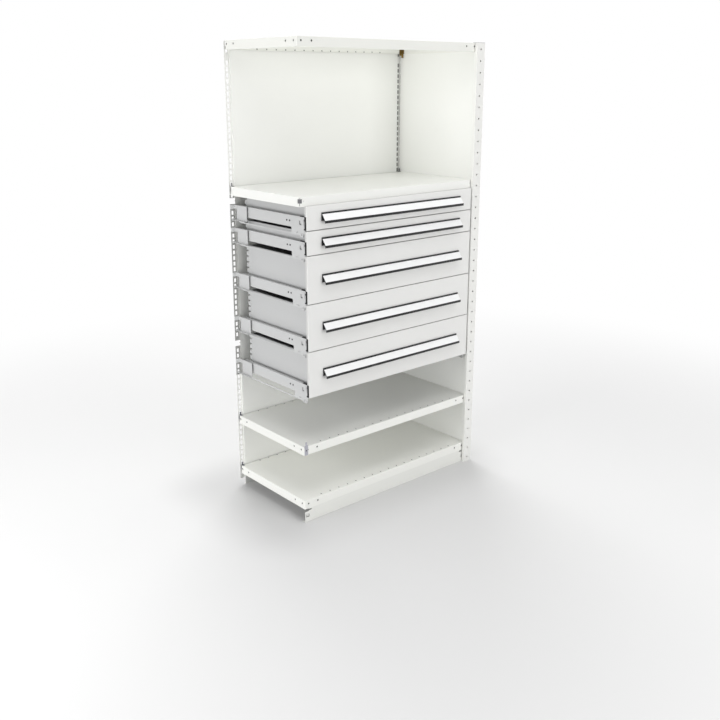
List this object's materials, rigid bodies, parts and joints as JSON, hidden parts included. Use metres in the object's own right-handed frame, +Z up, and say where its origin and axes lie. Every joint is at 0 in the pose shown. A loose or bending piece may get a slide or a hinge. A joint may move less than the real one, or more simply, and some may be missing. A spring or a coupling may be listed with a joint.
{
  "type": "storage cabinet with drawers",
  "caption": "Tall open storage bay with a slotted back, one closed side, perforated shelves, a work shelf and a stack of pull-out drawers with full-width label handles.",
  "frame": {"origin": "centre of the base of the bounding box, on the floor", "axes": "+Z up, +X to the right seen from the front (towards the closed side), +Y from the front to the back, drawers open along -Y"},
  "size_m": [1.036, 0.542, 2.003],
  "materials": {
    "frame_paint": "satin light grey-white powder coat",
    "drawer_paint": "satin light grey-white powder coat",
    "rail_paint": "satin light grey powder coat on folded steel",
    "handle_plastic": "matt black extruded plastic",
    "label_plastic": "white label strip behind a clear cover",
    "cap_plastic": "light grey matt plastic",
    "blue_zinc": "bright zinc plate with a bluish tint",
    "yellow_zinc": "yellow passivated zinc plate"
  },
  "bodies": {
    "cabinet_frame": {"front_post": "frame_paint", "rear_post": "frame_paint", "side_panel": "frame_paint", "back_panel_lower": "frame_paint", "back_panel_middle": "frame_paint", "back_panel_upper": "frame_paint", "top_shelf": "frame_paint", "work_shelf": "frame_paint", "lower_shelf": "frame_paint", "bottom_shelf": "frame_paint", "kick_plate": "frame_paint", "front_post_cap": "cap_plastic", "rear_post_cap": "cap_plastic", "bottom_shelf_clips": "blue_zinc", "lower_shelf_clips": "blue_zinc", "work_shelf_clips": "blue_zinc", "top_shelf_clips": "yellow_zinc", "slide_rail_left_1": "rail_paint", "slide_rail_right_1": "rail_paint", "slide_rail_left_2": "rail_paint", "slide_rail_right_2": "rail_paint", "slide_rail_left_3": "rail_paint", "slide_rail_right_3": "rail_paint", "slide_rail_left_4": "rail_paint", "slide_rail_right_4": "rail_paint", "slide_rail_left_5": "rail_paint", "slide_rail_right_5": "rail_paint"},
    "slide_members_1": {"slide_member_left_1": "blue_zinc", "slide_member_right_1": "blue_zinc"},
    "drawer_1": {"drawer_box_1": "drawer_paint", "drawer_front_1": "drawer_paint", "drawer_handle_1": "handle_plastic", "label_strip_1": "label_plastic"},
    "slide_members_2": {"slide_member_left_2": "blue_zinc", "slide_member_right_2": "blue_zinc"},
    "drawer_2": {"drawer_box_2": "drawer_paint", "drawer_front_2": "drawer_paint", "drawer_handle_2": "handle_plastic", "label_strip_2": "label_plastic"},
    "slide_members_3": {"slide_member_left_3": "blue_zinc", "slide_member_right_3": "blue_zinc"},
    "drawer_3": {"drawer_box_3": "drawer_paint", "drawer_front_3": "drawer_paint", "drawer_handle_3": "handle_plastic", "label_strip_3": "label_plastic"},
    "slide_members_4": {"slide_member_left_4": "blue_zinc", "slide_member_right_4": "blue_zinc"},
    "drawer_4": {"drawer_box_4": "drawer_paint", "drawer_front_4": "drawer_paint", "drawer_handle_4": "handle_plastic", "label_strip_4": "label_plastic"},
    "slide_members_5": {"slide_member_left_5": "blue_zinc", "slide_member_right_5": "blue_zinc"},
    "drawer_5": {"drawer_box_5": "drawer_paint", "drawer_front_5": "drawer_paint", "drawer_handle_5": "handle_plastic", "label_strip_5": "label_plastic"}
  },
  "joints": [
    {"name": "drawer_1_slide", "type": "slide", "parent": "cabinet_frame", "child": "drawer_1", "axis": [0, -1, 0], "range_m": [0, 0.4]},
    {"name": "slide_members_1_slide", "type": "slide", "parent": "cabinet_frame", "child": "slide_members_1", "axis": [0, -1, 0], "range_m": [0, 0.2]},
    {"name": "drawer_2_slide", "type": "slide", "parent": "cabinet_frame", "child": "drawer_2", "axis": [0, -1, 0], "range_m": [0, 0.4]},
    {"name": "slide_members_2_slide", "type": "slide", "parent": "cabinet_frame", "child": "slide_members_2", "axis": [0, -1, 0], "range_m": [0, 0.2]},
    {"name": "drawer_3_slide", "type": "slide", "parent": "cabinet_frame", "child": "drawer_3", "axis": [0, -1, 0], "range_m": [0, 0.4]},
    {"name": "slide_members_3_slide", "type": "slide", "parent": "cabinet_frame", "child": "slide_members_3", "axis": [0, -1, 0], "range_m": [0, 0.2]},
    {"name": "drawer_4_slide", "type": "slide", "parent": "cabinet_frame", "child": "drawer_4", "axis": [0, -1, 0], "range_m": [0, 0.4]},
    {"name": "slide_members_4_slide", "type": "slide", "parent": "cabinet_frame", "child": "slide_members_4", "axis": [0, -1, 0], "range_m": [0, 0.2]},
    {"name": "drawer_5_slide", "type": "slide", "parent": "cabinet_frame", "child": "drawer_5", "axis": [0, -1, 0], "range_m": [0, 0.4]},
    {"name": "slide_members_5_slide", "type": "slide", "parent": "cabinet_frame", "child": "slide_members_5", "axis": [0, -1, 0], "range_m": [0, 0.2]}
  ],
  "couplings": [
    {"joint": "slide_members_1_slide", "follows": "drawer_1_slide", "ratio": 0.5},
    {"joint": "slide_members_2_slide", "follows": "drawer_2_slide", "ratio": 0.5},
    {"joint": "slide_members_3_slide", "follows": "drawer_3_slide", "ratio": 0.5},
    {"joint": "slide_members_4_slide", "follows": "drawer_4_slide", "ratio": 0.5},
    {"joint": "slide_members_5_slide", "follows": "drawer_5_slide", "ratio": 0.5}
  ]
}
